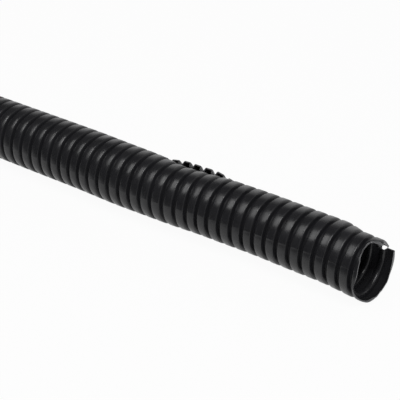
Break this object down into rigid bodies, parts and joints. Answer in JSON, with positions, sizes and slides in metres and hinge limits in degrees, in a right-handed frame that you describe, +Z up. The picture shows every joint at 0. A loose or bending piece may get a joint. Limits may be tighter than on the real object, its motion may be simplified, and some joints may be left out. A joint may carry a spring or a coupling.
{
  "type": "split corrugated conduit",
  "caption": "Length of flexible corrugated plastic conduit, slit along one side so that wires can be pushed in, with one end cut by hand at a slight lean.",
  "frame": {"origin": "middle of the box round the conduit, on the surface it lies on; the front half's axis runs 11 mm behind it", "axes": "+X along the front half towards the cut mouth, +Y away from the viewer, +Z up"},
  "size_m": [1.0014, 0.0454, 0.0236],
  "materials": {
    "conduit_plastic": "satin black moulded plastic"
  },
  "bodies": {
    "root": {"conduit": "conduit_plastic"}
  },
  "joints": []
}
